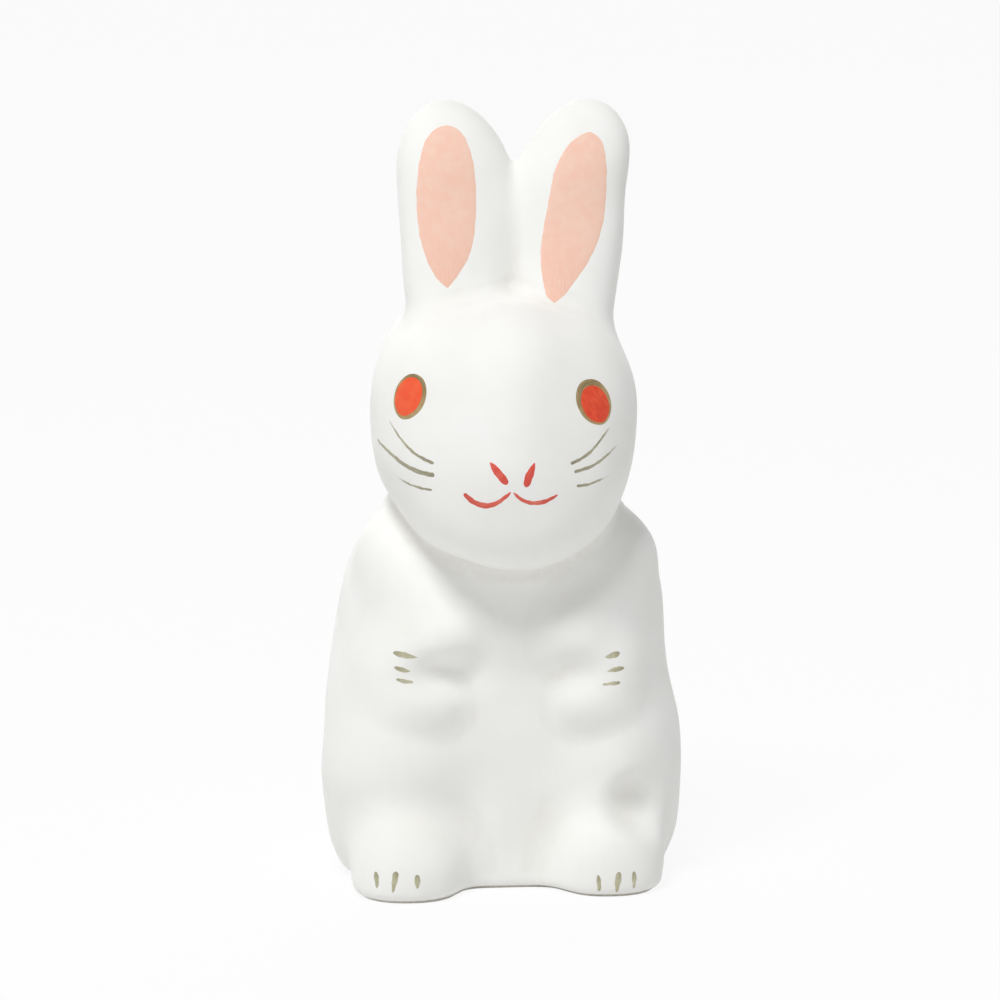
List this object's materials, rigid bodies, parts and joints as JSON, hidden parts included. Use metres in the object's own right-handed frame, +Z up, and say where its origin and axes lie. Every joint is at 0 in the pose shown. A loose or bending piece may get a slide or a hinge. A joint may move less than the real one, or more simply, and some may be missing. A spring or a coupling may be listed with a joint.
{
  "type": "rabbit figurine",
  "caption": "Upright sitting rabbit figurine in white painted papier-mache, hollow, with tall ears, folded paws and a flat card base.",
  "frame": {"origin": "underside of the base card, on the upright line that the body's sizes are measured from", "axes": "+Z up, the face looks along -Y, +X to the viewer's right"},
  "size_m": [0.0464, 0.0423, 0.0996],
  "materials": {
    "gofun_white": "matt shell-white coat over pasted paper",
    "pasted_strip": "thin pasted paper",
    "base_card": "matt card, painted over at the edge",
    "ear_pink": "matt brushed paint coat",
    "eye_red": "satin brushed paint coat",
    "ring_gold": "satin gold paint coat",
    "nose_red": "matt brushed paint coat",
    "mouth_red": "matt brushed paint coat",
    "whisker_gold": "satin gold paint coat",
    "claw_gold": "satin gold paint coat"
  },
  "bodies": {
    "root": {"shell_front": "gofun_white", "shell_back": "gofun_white", "seam_strip_left_body": "pasted_strip", "seam_strip_left_head": "pasted_strip", "seam_strip_left_ear": "pasted_strip", "seam_strip_right_body": "pasted_strip", "seam_strip_right_head": "pasted_strip", "seam_strip_right_ear": "pasted_strip", "seam_strip_notch": "pasted_strip", "base_card": "base_card", "ear_pink_left": "ear_pink", "ear_pink_right": "ear_pink", "eye_left": "eye_red", "eye_right": "eye_red", "eye_ring_left": "ring_gold", "eye_ring_right": "ring_gold", "nostril_left": "nose_red", "nostril_right": "nose_red", "mouth_left": "mouth_red", "mouth_right": "mouth_red", "whisker_left_1": "whisker_gold", "whisker_left_2": "whisker_gold", "whisker_left_3": "whisker_gold", "whisker_right_1": "whisker_gold", "whisker_right_2": "whisker_gold", "whisker_right_3": "whisker_gold", "paw_claw_left_1": "claw_gold", "paw_claw_left_2": "claw_gold", "paw_claw_left_3": "claw_gold", "paw_claw_right_1": "claw_gold", "paw_claw_right_2": "claw_gold", "paw_claw_right_3": "claw_gold", "toe_claw_left_1": "claw_gold", "toe_claw_left_2": "claw_gold", "toe_claw_left_3": "claw_gold", "toe_claw_right_1": "claw_gold", "toe_claw_right_2": "claw_gold", "toe_claw_right_3": "claw_gold"}
  },
  "joints": []
}
